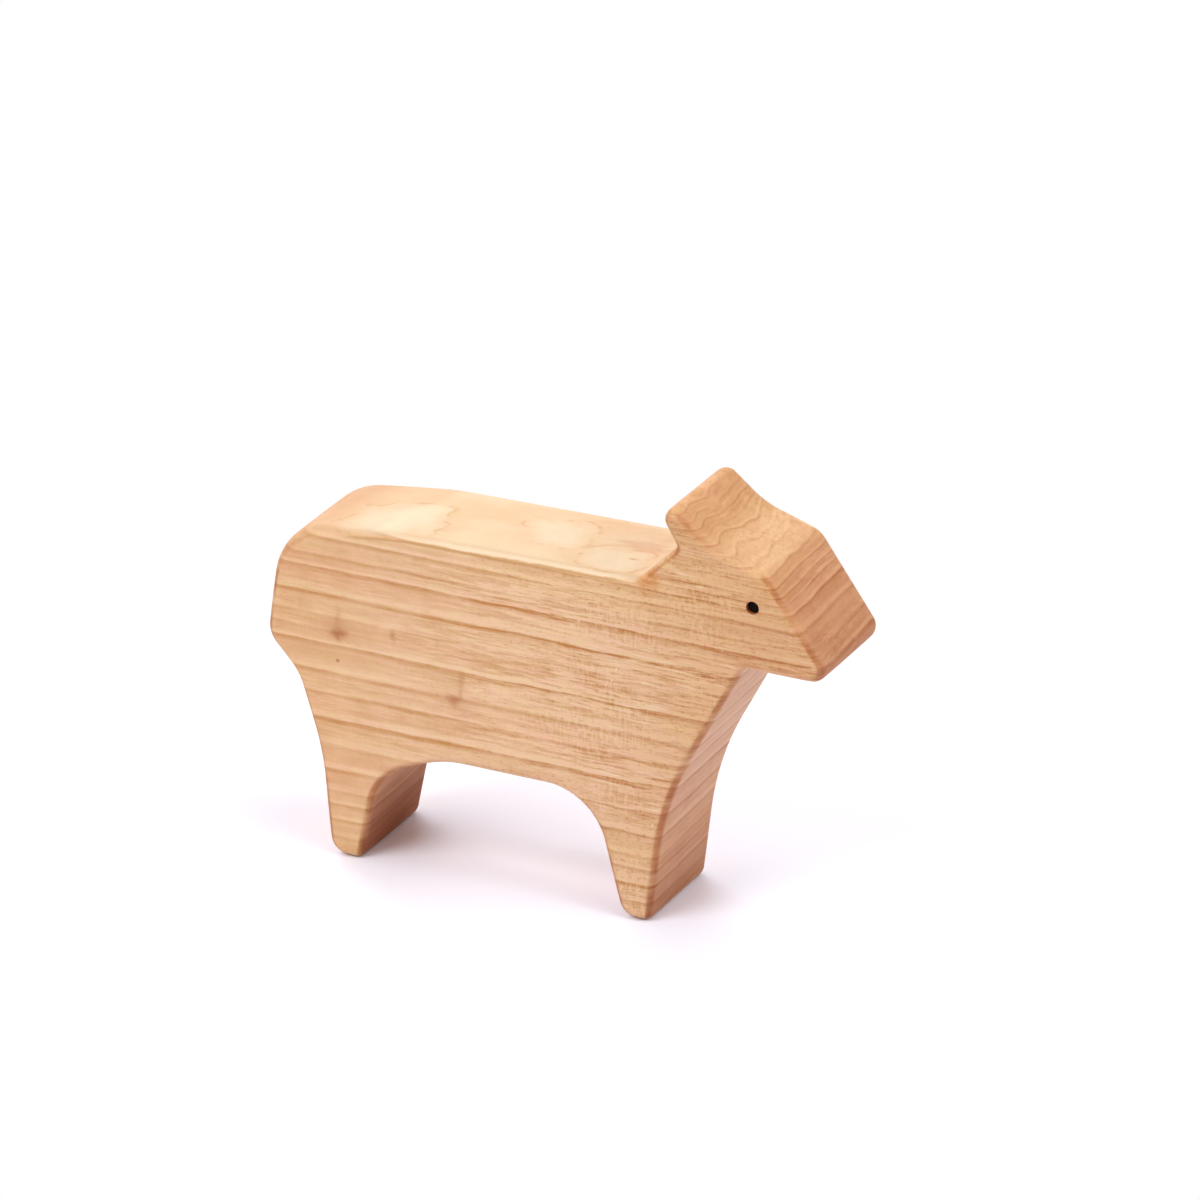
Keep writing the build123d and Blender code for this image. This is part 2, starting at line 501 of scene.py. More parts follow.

# %% [markdown]
# Sanded end grain drinks more oil than the long sides do and comes out deeper in colour. Between the legs,
# at the feet, under the muzzle and low on the front of the chest it is darkened further: that is painted
# shade, for the places that the body and the table keep light from. The leaning chest is made paler and
# bluer: that is painted light, the glow that the bright table throws up onto it. The rounded edges are
# burnished by the sander, the back is cut level with the growth layers, and the drill scorched the walls of
# its holes. All of it could be painted onto the mesh by hand, but the mesh knows where each of these is,
# from where its points lie and which way they face. Those are read first.


# %% Where the surface lies and faces
def eased(value, start, length):
    """The share of a length that a value is past a start, from 0 to 1; a length below 0 counts back."""
    return np.clip((value - start) / length, 0, 1)


normals = np.zeros(len(sheep_body.data.vertices) * 3)
sheep_body.data.vertex_normals.foreach_get("vector", normals)
facing_x, facing_y, facing_z = normals.reshape(-1, 3).T
point_x, point_y, height_mm = points_of(sheep_body).T / MM
along_heel = point_x - heel_x
across = np.abs(facing_y)
end_on = np.abs(facing_x)
print("points:", len(height_mm), "from heel", along_heel.min().round(2), "to", along_heel.max().round(2))

# %% [markdown]
# Now each fact becomes one number from 0 to 1 on every point. It is stored as an attribute, which a
# material reads by its name.

# %% Facts about the surface as attributes
BACK_FROM, BACK_EASE = 60.0, 1.5
NECK_AT = 71.0
RUMP_END, RUMP_EASE = -12.0, 9.0
LEVEL_FROM, LEVEL_EASE = 0.50, 0.40
ARCH_EASE = 2.0
ARCH_SHARE, ARCH_DEEPER = 0.50, 1.0
FOOT_TOP, FOOT_SHARE = 14.0, 0.40
CHIN_EASE, CHIN_SHARE = 24.0, 0.55
CHEST_SHARE = 0.34
LEG_LEAN, CHEST_LEAN = 0.10, 0.46
BROW_SHARE = 0.12
BURNISH_FADES, BURNISH_EASE = 0.40, 0.30
HEAD_BURNISH = 0.6

throat_x, throat_height = CORNERS["throat"][:2]
fore_heel_x = CORNERS["fore_heel"][0]
arch_top = CORNERS["flank"][1] + ARCH_EASE
arch_middle = (CORNERS["flank"][0] + CORNERS["fore_arch"][0]) / 2
on_head = along_heel > CORNERS["nick"][0]

level_share = eased(facing_z, LEVEL_FROM, LEVEL_EASE)
on_back = eased(along_heel, NECK_AT, -BACK_EASE) * eased(along_heel, RUMP_END, RUMP_EASE)
above_side = eased(height_mm, BACK_FROM, BACK_EASE)
under = (along_heel > CORNERS["hind_toe"][0] - ARCH_EASE) & (along_heel < fore_heel_x + ARCH_EASE)
in_arch = under * eased(height_mm, arch_top, -ARCH_EASE) * (1 - across)
in_arch *= (arch_middle - along_heel) * facing_x > 0
at_foot = eased(height_mm, FOOT_TOP, -FOOT_TOP)
at_chin = (along_heel > throat_x) * eased(height_mm, CORNERS["brow"][1], -CHIN_EASE)
on_chest = (height_mm < throat_height) & (facing_x > 0) & (along_heel > fore_heel_x)
# Painted shade: end grain is darkened between the legs, near the table, under the muzzle and low on the
# chest's front.
painted_shade = ARCH_SHARE * in_arch * (1 + ARCH_DEEPER * at_foot) + FOOT_SHARE * at_foot
painted_shade += CHIN_SHARE * at_chin + CHEST_SHARE * on_chest * (1 - height_mm / throat_height)
not_on_top = 1 - (1 - HEAD_BURNISH * on_head) * eased(facing_z, BURNISH_FADES, BURNISH_EASE)
at_eye = np.hypot(point_x - eye_centre[0], height_mm - eye_centre[1]) < hole_radius + HOLE_SOFTENING
below_cheek = half_board - np.abs(point_y)
near_turn = np.arctan2(-facing_y, np.maximum(facing_z, 0)) / (np.pi / 2)
surface_facts = {
    "dull_end_painted_shade": np.clip(end_on * painted_shade, 0, 1),
    "drilled": at_eye * eased(below_cheek, 0, HOLE_SOFTENING),
    "near_turn": np.clip(near_turn, 0, 1),
    "flat_cut": level_share * above_side * np.maximum(on_back, BROW_SHARE * on_head),
    # Painted light: where the chest leans over the bright table its colour is made paler and bluer.
    "painted_chest_glow": (1 - across) * on_chest * eased(-facing_z, LEG_LEAN, CHEST_LEAN - LEG_LEAN),
    "end_grain": end_on,
    "level_face": level_share,
    "rounded_edge": 2 * across * np.sqrt(np.clip(1 - across ** 2, 0, 1)) * not_on_top,
}
for name, values in surface_facts.items():
    attribute = sheep_body.data.attributes.new(name, "FLOAT", "POINT")
    attribute.data.foreach_set("value", values.astype(np.float32))
    print(name, "from", values.min().round(2), "to", values.max().round(2))

# %% [markdown]
# Materials are networks of small nodes. A few helpers keep the rest readable. They place a node and fill
# its inputs from values or from other nodes, do sums on numbers and on vectors, make noise, ease a value
# from one range to another, mix two colours, and start or use a node group, which is a network that can
# be used in several materials like a single node.


# %% Node helpers
def fill(tree, made, inputs):
    """Fills a node's inputs from values or from other nodes, and returns its outputs."""
    for socket, value in inputs.items():
        if isinstance(value, bpy.types.NodeSocket):
            tree.links.new(value, made.inputs[socket])
        else:
            made.inputs[socket].default_value = value
    return made.outputs


def place(tree, kind, inputs=None, **options):
    """Adds a node of a kind, sets its options and fills its inputs."""
    made = tree.nodes.new("ShaderNode" + kind)
    for option, value in options.items():
        setattr(made, option, value)
    return fill(tree, made, inputs or {})


def calc(tree, operation, *values):
    """One sum on numbers."""
    return place(tree, "Math", dict(enumerate(values)), operation=operation)[0]


def times(tree, product, *factors):
    """Numbers multiplied together."""
    for factor in factors:
        product = calc(tree, "MULTIPLY", product, factor)
    return product


def vectors(tree, operation, *values):
    """One sum on vectors; a length or a distance comes out as a number."""
    outputs = place(tree, "VectorMath", dict(enumerate(values)), operation=operation)
    return outputs["Value" if operation in ("LENGTH", "DISTANCE") else "Vector"]


def stretch(tree, vector, per_mm, detail, **noise):
    """Noise from 0 to 1 whose features are drawn out differently along each axis."""
    scaled = vectors(tree, "MULTIPLY", vector, per_mm)
    return place(tree, "TexNoise", {"Vector": scaled, "Scale": 1.0, "Detail": detail, **noise})[0]


def sway(tree, vector, per_mm, detail):
    """The same noise about 0, from -0.5 to 0.5."""
    return calc(tree, "SUBTRACT", stretch(tree, vector, per_mm, detail), 0.5)


def between(tree, value, low, high, to_low=0.0, to_high=1.0):
    """Eases a value from one range to another, held at the ends."""
    ends = {0: value, 1: low, 2: high, 3: to_low, 4: to_high}
    return place(tree, "MapRange", ends, interpolation_type="SMOOTHSTEP")[0]


def mix(tree, share, first, second, blend_type="MIX"):
    """The first colour, with a share of the second mixed in."""
    colours = {0: share, 6: first, 7: second}
    return place(tree, "Mix", colours, data_type="RGBA", blend_type=blend_type)[2]


def start_group(name, inputs, outputs):
    """A new node group with named inputs and outputs; each name is followed by its kind."""
    group = bpy.data.node_groups.new(name, "ShaderNodeTree")
    for sockets, way in ((inputs, "INPUT"), (outputs, "OUTPUT")):
        for socket, kind in sockets.items():
            group.interface.new_socket(socket, in_out=way, socket_type="NodeSocket" + kind)
    return group, group.nodes.new("NodeGroupInput").outputs, group.nodes.new("NodeGroupOutput").inputs


def use_group(tree, group, inputs):
    """Places a node group in a material or in another group."""
    made = tree.nodes.new("ShaderNodeGroup")
    made.node_tree = group
    return fill(tree, made, inputs)


print("node helpers ready")

# %% [markdown]
# Here and there a dormant bud left its mark. A bud grows outwards with the tree, so it shows as a faint
# upright stroke across the growth lines, with a brown smudge at its lower end where it began. A painted
# picture could hold such marks, but a group that measures the distance from a point stays sharp at
# any size. Noise shifts the place first, so that no mark has a ruled edge.

# %% Bud mark group
MARK_WANDER = 2.4
MARK_PER_MM = (0.40, 0.40, 0.40)
MARK_DETAIL = 3.0
STROKE_WIDTH = 0.95
STROKE_FADE = 1.6
SMUDGE_FLATNESS = 1.5
SMUDGE_CORE = 0.1
MARK_DEPTH = 1.2

bud_mark, given, result = start_group(
    "bud mark",
    {"Place": "Vector", "Foot": "Vector", "Length": "Float", "Size": "Float"},
    {"Stroke": "Float", "Smudge": "Float"},
)
nearby = vectors(bud_mark, "MULTIPLY", given["Place"], MARK_PER_MM)
drift = place(bud_mark, "TexNoise", {"Vector": nearby, "Scale": 1.0, "Detail": MARK_DETAIL})["Color"]
drift = vectors(bud_mark, "SUBTRACT", drift, (0.5,) * 3)
offset = vectors(bud_mark, "SUBTRACT", given["Place"], given["Foot"])
offset = vectors(bud_mark, "MULTIPLY_ADD", drift, (MARK_WANDER,) * 3, offset)
off_x, off_y, off_z = place(bud_mark, "SeparateXYZ", {0: offset})
shallow = between(bud_mark, calc(bud_mark, "ABSOLUTE", off_y), MARK_DEPTH, 2 * MARK_DEPTH, 1.0, 0.0)
half_length = times(bud_mark, given["Length"], 0.5)
from_middle = calc(bud_mark, "ABSOLUTE", calc(bud_mark, "SUBTRACT", off_z, half_length))
past_end = calc(bud_mark, "SUBTRACT", from_middle, half_length)
along_stroke = between(bud_mark, past_end, -STROKE_FADE, STROKE_FADE / 2, 1.0, 0.0)
stroke = between(bud_mark, calc(bud_mark, "ABSOLUTE", off_x), 0.0, STROKE_WIDTH, 1.0, 0.0)
flattened = place(bud_mark, "CombineXYZ", {0: off_x, 2: times(bud_mark, off_z, SMUDGE_FLATNESS)})[0]
reach = calc(bud_mark, "DIVIDE", vectors(bud_mark, "LENGTH", flattened), given["Size"])
smudge = between(bud_mark, reach, SMUDGE_CORE, 1.0, 1.0, 0.0)
bud_mark.links.new(times(bud_mark, stroke, along_stroke, shallow), result["Stroke"])
bud_mark.links.new(times(bud_mark, smudge, shallow), result["Smudge"])
print("group:", bud_mark.name, "with", len(bud_mark.nodes), "nodes")

# %% [markdown]
# The tree laid down one layer a year, and the board was cut so that the layers lie almost flat. So
# a point's height in the board says which year it belongs to, once the layers' slope and ripples are
# taken into account. This group turns a place into such a height. The layers rise a little towards
# the far side, and ripple most in the head, near the heart of the tree, where the forehead and the
# ear cut them into wavy rings.

# %% Grain space group
LAYER_SLOPE = 0.04
# Each ripple has a height, its features per millimetre and its detail
RIPPLES = [(0.60, (0.03, 0.07, 0.10), 2.0), (0.70, (0.10, 0.10, 0.22), 3.0)]
RING_HEIGHT = 3.4
RING_PER_MM = (0.065, 0.10, 0.065)
RINGS_FROM, RINGS_FULL = 71.0, 80.0
RINGS_DEPTH = 5.0

grain_space, given, result = start_group(
    "grain space", {"Object": "Vector"}, {"Place": "Vector", "Grain": "Vector", "Height": "Float"}
)
place_mm = vectors(grain_space, "MULTIPLY", given["Object"], (1 / MM,) * 3)
grain_x, grain_y, grain_z = place(grain_space, "SeparateXYZ", {0: place_mm})
from_near = calc(grain_space, "ADD", grain_y, half_board)
level = calc(grain_space, "MULTIPLY_ADD", from_near, -LAYER_SLOPE, grain_z)
for ripple_height, per_mm, detail in RIPPLES:
    ripple = sway(grain_space, place_mm, per_mm, detail)
    level = calc(grain_space, "MULTIPLY_ADD", ripple, ripple_height, level)
in_head = between(grain_space, grain_z, RINGS_FROM, RINGS_FULL, 0.0, RING_HEIGHT)
below_face = between(grain_space, from_near, 0.0, RINGS_DEPTH)
rings = times(grain_space, sway(grain_space, place_mm, RING_PER_MM, 1.0), in_head, below_face)
level = calc(grain_space, "ADD", level, rings)
in_grain = place(grain_space, "CombineXYZ", {0: grain_x, 1: grain_y, 2: level})[0]
for name, output in (("Place", place_mm), ("Grain", in_grain), ("Height", level)):
    grain_space.links.new(output, result[name])
print("group:", grain_space.name, "with", len(grain_space.nodes), "nodes")

# %% [markdown]
# Each layer starts pale in spring and ends in a dense brown line in autumn. The list gives the
# height of every line on the near side, in millimetres above the table, and how dark it is. A
# curve turns a height into a count of layers, so that the fraction left over is the season, and
# a second curve gives each line its own darkness. A plain repeating wave would make all years alike.

# %% Growth layers group
LAYER_LINES = [
    (0.0, 0.3), (3.9, 0.4), (7.5, 0.9), (10.8, 0.7), (13.4, 0.4), (18.0, 1.0), (22.8, 0.5),
    (28.5, 1.0), (33.7, 0.55), (38.1, 0.7), (43.9, 0.95), (46.8, 0.25), (49.5, 0.3), (54.0, 1.0),
    (59.4, 1.0), (62.0, 0.45), (65.6, 0.75), (68.5, 1.0), (70.2, 0.6), (71.5, 0.7), (73.2, 0.75),
    (75.0, 0.6), (76.6, 0.5), (77.9, 0.45), (79.4, 0.7), (80.6, 0.3), (81.8, 0.5), (83.0, 0.4),
    (84.4, 0.5), (86.0, 0.4), (90.0, 0.4),
]
LINE_START, LINE_EDGE = 0.70, 0.955
LINE_TAIL = 0.06
LINE_SHARPNESS = 2.0
SPRING_PEAK = 0.14
SPRING_END = 0.45


def hand_curve(tree, value, points):
    """A curve through given points, straight from each to the next."""
    made = tree.nodes.new("ShaderNodeFloatCurve")
    curve = made.mapping.curves[0]
    curve.points[0].location, curve.points[1].location = points[0], points[-1]
    for point in points[1:-1]:
        curve.points.new(*point)
    for point in curve.points:
        point.handle_type = "VECTOR"
    made.mapping.update()
    return fill(tree, made, {"Value": value})[0]


growth_layers, given, result = start_group(
    "growth layers", {"Height": "Float"}, {"Autumn": "Float", "Spring": "Float"}
)
layer_count = len(LAYER_LINES) - 1
top_line = LAYER_LINES[-1][0]
count_points = [(line / top_line, i / layer_count) for i, (line, dark) in enumerate(LAYER_LINES)]
dark_points = [(i / layer_count, dark) for i, (line, dark) in enumerate(LAYER_LINES)]
height_share = calc(growth_layers, "DIVIDE", given["Height"], top_line)
count_share = hand_curve(growth_layers, height_share, count_points)
darkness = hand_curve(growth_layers, count_share, dark_points)
season = calc(growth_layers, "FRACT", times(growth_layers, count_share, layer_count))
ripening = between(growth_layers, season, LINE_START, LINE_EDGE)
ripening = calc(growth_layers, "POWER", ripening, LINE_SHARPNESS)
after_line = between(growth_layers, season, 0.0, LINE_TAIL, 1.0, 0.0)
line = calc(growth_layers, "MAXIMUM", ripening, after_line)
spring_in = between(growth_layers, season, LINE_TAIL / 2, SPRING_PEAK)
spring_out = between(growth_layers, season, SPRING_PEAK, SPRING_END, 1.0, 0.0)
growth_layers.links.new(times(growth_layers, line, darkness), result["Autumn"])
growth_layers.links.new(times(growth_layers, spring_in, spring_out, darkness), result["Spring"])
print("group:", growth_layers.name, "with", layer_count, "layers")

# %% [markdown]
# Between the lines the wood is built of fibres that all run from tail to nose, in bands, fine lines
# and single threads, with open pores, pale flecks and nicks among them. Soft blotches, a faint quilting
# and small shifts of hue lie over them, and rays cross them from the tree's centre outwards, which show on
# the sheep's side as fine upright hatching. All of them are noise drawn out along one direction, in
# grain space, so that they bend with the layers. The first three numbers say how many features there are
# per millimetre along the board, across it and up through the layers. The last two say where the noise
# starts to show and where it shows in full.

# %% Fibres and rays group
STREAKS = {
    "Bands": ((0.022, 0.03, 0.75), (0.36, 0.64)),
    "Lines": ((0.085, 0.13, 1.6), (0.34, 0.66)),
    "Threads": ((0.25, 0.50, 2.5), (0.32, 0.68)),
    "Blotches": ((0.10, 0.12, 0.40), (0.32, 0.68)),
    "Quilting": ((0.24, 0.20, 0.16), (0.32, 0.68)),
    "Rays": ((1.6, 2.0, 0.40), (0.42, 0.64)),
    "Flecks": ((0.11, 0.40, 1.8), (0.52, 0.76)),
    "Nicks": ((1.1, 1.5, 0.9), (0.69, 0.78)),
    "Pores": ((0.90, 2.0, 2.7), (0.52, 0.70)),
    "Hues": ((0.30, 0.50, 1.3), (0.32, 0.68)),
}
STREAK_DETAIL, STREAK_ROUGHNESS = 2.0, 0.6

fibres_and_rays, given, result = start_group(
    "fibres and rays", {"Grain": "Vector"}, {name: "Float" for name in STREAKS}
)
for name, (per_mm, (faint, full)) in STREAKS.items():
    streak = stretch(fibres_and_rays, given["Grain"], per_mm, STREAK_DETAIL, Roughness=STREAK_ROUGHNESS)
    fibres_and_rays.links.new(between(fibres_and_rays, streak, faint, full), result[name])
print("group:", fibres_and_rays.name, "with", len(STREAKS), "kinds of streak")

# %% [markdown]
# Where the saw ran level with the layers, along the back, it only just cut through one of them. That
# layer's line wanders over the back like a shore: inside it the next year's pale wood lies like an island,
# and outside it the late wood darkens towards the shore. The group finds how close a point is to the
# nearest island's middle, lets noise bend that, and reads pale wood, late wood and shore from it.

# %% Back figure group
# Each island has its middle, from the heel and from the board's middle, and half its length and width
BACK_ISLANDS = [((11.5, -6.5), (9.8, 10.0)), ((43.2, 1.2), (7.0, 6.4)), ((57.0, -6.5), (6.5, 5.5))]
SHORE_BEND = 1.9
SHORE_PER_MM, SHORE_DETAIL = (0.085, 0.13, 0.0), 2.5
SHORE_WIDTH = 0.06
SHORE_FADE = 0.30
SHORE_SHARPNESS = 3.0
SHORE_SOFT = 0.7
LATE_REACH = 0.9
BREAKS_PER_MM, BREAKS_DETAIL = (0.19, 0.19, 0.0), 2.0
BREAKS_RANGE = (0.45, 0.60)


def oval_reach(tree, spot, middle, half):
    """How far a place on the back is from an oval's middle: 0 there, 1 on the oval, more outside."""
    offset = vectors(tree, "SUBTRACT", spot, (middle[0] + heel_x, middle[1], 0.0))
    return vectors(tree, "LENGTH", vectors(tree, "MULTIPLY", offset, (1 / half[0], 1 / half[1], 0.0)))


back_figure, given, result = start_group(
    "back figure", {"Place": "Vector"}, {"Island": "Float", "Late": "Float", "Shore": "Float"}
)
closeness = -1.0
for middle, half in BACK_ISLANDS:
    reach = oval_reach(back_figure, given["Place"], middle, half)
    closeness = calc(back_figure, "MAXIMUM", calc(back_figure, "SUBTRACT", 1.0, reach), closeness)
bend = sway(back_figure, given["Place"], SHORE_PER_MM, SHORE_DETAIL)
level = calc(back_figure, "MULTIPLY_ADD", bend, SHORE_BEND, closeness)
island = between(back_figure, level, -SHORE_SOFT / 4, SHORE_SOFT)
outside = calc(back_figure, "SUBTRACT", 1.0, island)
late = times(back_figure, between(back_figure, level, -LATE_REACH, 0.0), outside)
shore = calc(back_figure, "POWER", between(back_figure, level, -SHORE_FADE, 0.0), SHORE_SHARPNESS)
inner_edge = between(back_figure, level, SHORE_WIDTH, 0.0)
breaks = stretch(back_figure, given["Place"], BREAKS_PER_MM, BREAKS_DETAIL)
shore = times(back_figure, shore, inner_edge, between(back_figure, breaks, *BREAKS_RANGE))
for name, mask in (("Island", island), ("Late", late), ("Shore", shore)):
    back_figure.links.new(mask, result[name])
print("group:", back_figure.name, "with", len(BACK_ISLANDS), "islands")

# %% [markdown]
# Now the finish itself, in a few short steps. First comes how strongly each kind of streak shows. They are
# livelier towards the front, where the saw met the rays, and calmer at the feet, on level faces and where
# the fibres are cut across. One picture of wood wrapped round the sheep would be the same everywhere, so
# each streak gets a share of its own, worked out from the place and from the facts on the mesh.

# %% Shares of the streaks
PATCH_PER_MM, PATCH_RANGE = (0.030, 0.06, 0.11), (0.36, 0.64, 0.25, 1.05)
LIVELY_FROM, LIVELY_FULL = -45.0, 35.0
CALM_REAR, LIVELY_FRONT = 0.65, 2.90
HATCH_FROM, HATCH_FULL, HATCH_REAR = -12.0, 18.0, 0.15
HATCH_PER_MM, HATCH_RANGE = (0.055, 0.10, 0.09), (0.46, 0.62, 0.1, 1.0)
PATCH_DETAIL = 2.0
FEET_CALM_FROM, FEET_CALM_TO, FEET_CALM = 12.0, 30.0, 0.45
ENDS_CALM, LEVEL_CALM, CHEST_CALM = 0.50, 0.40, 0.65
END_BANDS = 2.2
FLECK_SHARE, NICK_SHARE = 0.45, 0.60


def fact(tree, name):
    """A number that is stored on the mesh."""
    return place(tree, "Attribute", attribute_name=name)["Fac"]


def one_plus(tree, share, value):
    """1 plus a share of a value."""
    return calc(tree, "MULTIPLY_ADD", value, share, 1.0)


def streak_shares(tree, grain, height, along):
    """Each streak's share is the product of the places and facts that make it livelier or calmer."""
    end_grain = fact(tree, "end_grain")
    long_grain = calc(tree, "SUBTRACT", 1.0, end_grain)
    patchy = between(tree, stretch(tree, grain, PATCH_PER_MM, PATCH_DETAIL), *PATCH_RANGE)
    lively = between(tree, along, LIVELY_FROM, LIVELY_FULL, CALM_REAR, LIVELY_FRONT)
    in_front = between(tree, along, HATCH_FROM, HATCH_FULL, HATCH_REAR, 1.0)
    hatched = between(tree, stretch(tree, grain, HATCH_PER_MM, PATCH_DETAIL), *HATCH_RANGE)
    above_feet = between(tree, height, FEET_CALM_FROM, FEET_CALM_TO, FEET_CALM, 1.0)
    off_ends = one_plus(tree, -ENDS_CALM, end_grain)
    off_level = one_plus(tree, -LEVEL_CALM, fact(tree, "level_face"))
    off_chest = one_plus(tree, -CHEST_CALM, fact(tree, "painted_chest_glow"))
    fine = times(tree, patchy, lively, above_feet, off_ends, off_level, off_chest)
    pale = times(tree, long_grain, in_front, fine)
    return {
        "Bands": times(tree, one_plus(tree, END_BANDS, end_grain), off_chest),
        "Blotches": 1.0,
        "Quilting": 1.0,
        "Lines": fine,
        "Threads": fine,
        "Pores": times(tree, long_grain, lively),
        "Rays": times(tree, long_grain, in_front, hatched),
        "Flecks": times(tree, pale, FLECK_SHARE),
        "Nicks": times(tree, pale, NICK_SHARE),
    }


print("livelier from", CALM_REAR, "at the rear to", LIVELY_FRONT, "in front")

# %% [markdown]
# Then the growth lines and streaks are added up to one tone, from pale spring wood to brown autumn wood.
# Pale flecks and nicks are laid over it, slow zones turn it towards pink or gold, and it deepens towards
# both ends of the sheep and most of all towards the head.

# %% Colour of the board
SPRING_WOOD = (0.912, 0.625, 0.390, 1)
AUTUMN_WOOD = (0.545, 0.218, 0.034, 1)
FLECK_WOOD = (1.000, 0.800, 0.590, 1)
OLIVE_HUE, ROSY_HUE = (0.985, 1.000, 0.910, 1), (1.000, 0.950, 0.970, 1)
ZONE_PER_MM, ZONE_DETAIL = (0.014, 0.02, 0.10), 1.0
GOLD_ZONE, GOLD_RANGE = (1.00, 1.00, 0.92, 1), (0.50, 0.30)
PINK_ZONE, PINK_RANGE = (1.00, 0.95, 0.96, 1), (0.50, 0.70)
GOLD_ENDS = (0.97, 0.92, 0.83, 1)
PALE_MIDDLE, PALE_REACH, GOLD_REACH = -6.0, 20.0, 52.0
FRONT_WOOD = (0.88, 0.79, 0.73, 1)
FRONT_FROM, FRONT_FULL = -12.0, 55.0
FADE_PER_MM, FADE_DETAIL, FADE_RANGE = (0.060, 0.15, 0.25), 3.0, (0.32, 0.58, 0.55, 1.0)
REAR_LINES = 0.70
BASE_TONE = 0.35
END_CALM = 0.15
AUTUMN_TONE, SPRING_TONE = 0.60, -0.32
STREAK_TONES = {
    "Bands": 0.09, "Blotches": 0.12, "Quilting": 0.09, "Lines": 0.24, "Threads": 0.20,
    "Pores": 0.16, "Rays": -0.32,
}


def multiply(tree, share, colour, tint):
    """The colour, with a share of itself times a tint."""
    return mix(tree, share, colour, tint, "MULTIPLY")


def board_colour(tree, grain, height):
    """A tone mixes two woods, and tints follow.

    The tone is a base, plus the lines, plus each streak less its middle times its share and weight.
    """
    layers = use_group(tree, growth_layers, {"Height": height})
    streaks = use_group(tree, fibres_and_rays, {"Grain": grain})
    along = place(tree, "SeparateXYZ", {0: grain})[0]
    shares = streak_shares(tree, grain, height, along)
    fade = between(tree, stretch(tree, grain, FADE_PER_MM, FADE_DETAIL), *FADE_RANGE)
    rear = between(tree, along, LIVELY_FROM, PALE_MIDDLE, REAR_LINES, 1.0)
    tone = times(tree, layers["Autumn"], fade, rear, AUTUMN_TONE)
    tone = calc(tree, "MULTIPLY_ADD", layers["Spring"], SPRING_TONE, tone)
    for name, weight in STREAK_TONES.items():
        streak = times(tree, calc(tree, "SUBTRACT", streaks[name], 0.5), shares[name])
        tone = calc(tree, "MULTIPLY_ADD", streak, weight, tone)
    off_ends = one_plus(tree, -END_CALM, fact(tree, "end_grain"))
    tone = calc(tree, "MULTIPLY_ADD", tone, off_ends, BASE_TONE)
    colour = mix(tree, tone, SPRING_WOOD, AUTUMN_WOOD)
    for name in ("Flecks", "Nicks"):
        colour = mix(tree, times(tree, streaks[name], shares[name]), colour, FLECK_WOOD)
    colour = multiply(tree, 1.0, colour, mix(tree, streaks["Hues"], OLIVE_HUE, ROSY_HUE))
    zone = stretch(tree, grain, ZONE_PER_MM, ZONE_DETAIL)
    colour = multiply(tree, between(tree, zone, *GOLD_RANGE), colour, GOLD_ZONE)
    colour = multiply(tree, between(tree, zone, *PINK_RANGE), colour, PINK_ZONE)
    from_middle = calc(tree, "ABSOLUTE", calc(tree, "SUBTRACT", along, PALE_MIDDLE))
    colour = multiply(tree, between(tree, from_middle, PALE_REACH, GOLD_REACH), colour, GOLD_ENDS)
    colour = multiply(tree, between(tree, along, FRONT_FROM, FRONT_FULL), colour, FRONT_WOOD)
    return colour, layers, streaks


print("tones:", STREAK_TONES)

# %% [markdown]
# Next come the single marks, the buds on the near side. Each is the bud mark group placed once, with its
# foot at a spot measured from the heel, and it makes the wood browner instead of covering it, so that
# the growth lines still show through.

# %% Marks of the buds
BUD_MARKS = [
    {"foot": (2.6, 46.6), "Length": 6.0, "Stroke": 0.30, "Size": 2.5, "Smudge": 0.9},
    {"foot": (2.2, 47.6), "Length": 1.0, "Stroke": 0.0, "Size": 6.0, "Smudge": 0.3},
    {"foot": (14.2, 47.0), "Length": 2.6, "Stroke": 1.0, "Size": 1.0, "Smudge": 0.0},
    {"foot": (28.6, 37.2), "Length": 7.0, "Stroke": 0.50, "Size": 6.0, "Smudge": 0.25},
    {"foot": (26.8, 37.7), "Length": 1.0, "Stroke": 0.0, "Size": 2.5, "Smudge": 0.7},
    {"foot": (2.3, 40.6), "Length": 1.0, "Stroke": 0.0, "Size": 0.8, "Smudge": 1.0},
]
BUD_TINTS = {"Stroke": (0.74, 0.60, 0.48, 1), "Smudge": (0.64, 0.41, 0.24, 1)}


def mark_buds(tree, grain, colour):
    """Each bud's stroke and smudge, as a browner tint of the wood."""
    for bud in BUD_MARKS:
        foot = (bud["foot"][0] + heel_x, -half_board, bud["foot"][1])
        inputs = {"Place": grain, "Foot": foot, "Length": bud["Length"], "Size": bud["Size"]}
        mark = use_group(tree, bud_mark, inputs)
        for part, tint in BUD_TINTS.items():
            colour = multiply(tree, times(tree, mark[part], bud[part]), colour, tint)
    return colour


print("bud marks:", len(BUD_MARKS))

# %% [markdown]
# The back is flat-cut wood, paler than the sides, that blushes here and there and turns brown at the rump.
# The layer's islands and shores are laid over it, and near the neck a few rosy streaks and one dark
# fleck. It could be a material of its own, but the wood runs on without a seam, so the mesh's own
# fact says where the back is and the colours are mixed there.

# %% The back
BACK_WOOD = (0.755, 0.575, 0.370, 1)
LATE_WOOD = (0.740, 0.490, 0.285, 1)
FIGURE_WOODS = {
    "Late": (LATE_WOOD, 0.55),
    "Island": ((0.790, 0.655, 0.460, 1), 0.85),
    "Shore": ((0.560, 0.310, 0.120, 1), 0.70),
}
RUMP_WOOD = (0.620, 0.325, 0.168, 1)
RUMP_FROM, RUMP_FULL = 11.0, -3.0
BLUSH_PER_MM, BLUSH_DETAIL, BLUSH_RANGE = (0.050, 0.14, 0.0), 3.0, (0.40, 0.66)
BLUSH_ACROSS = 0.010
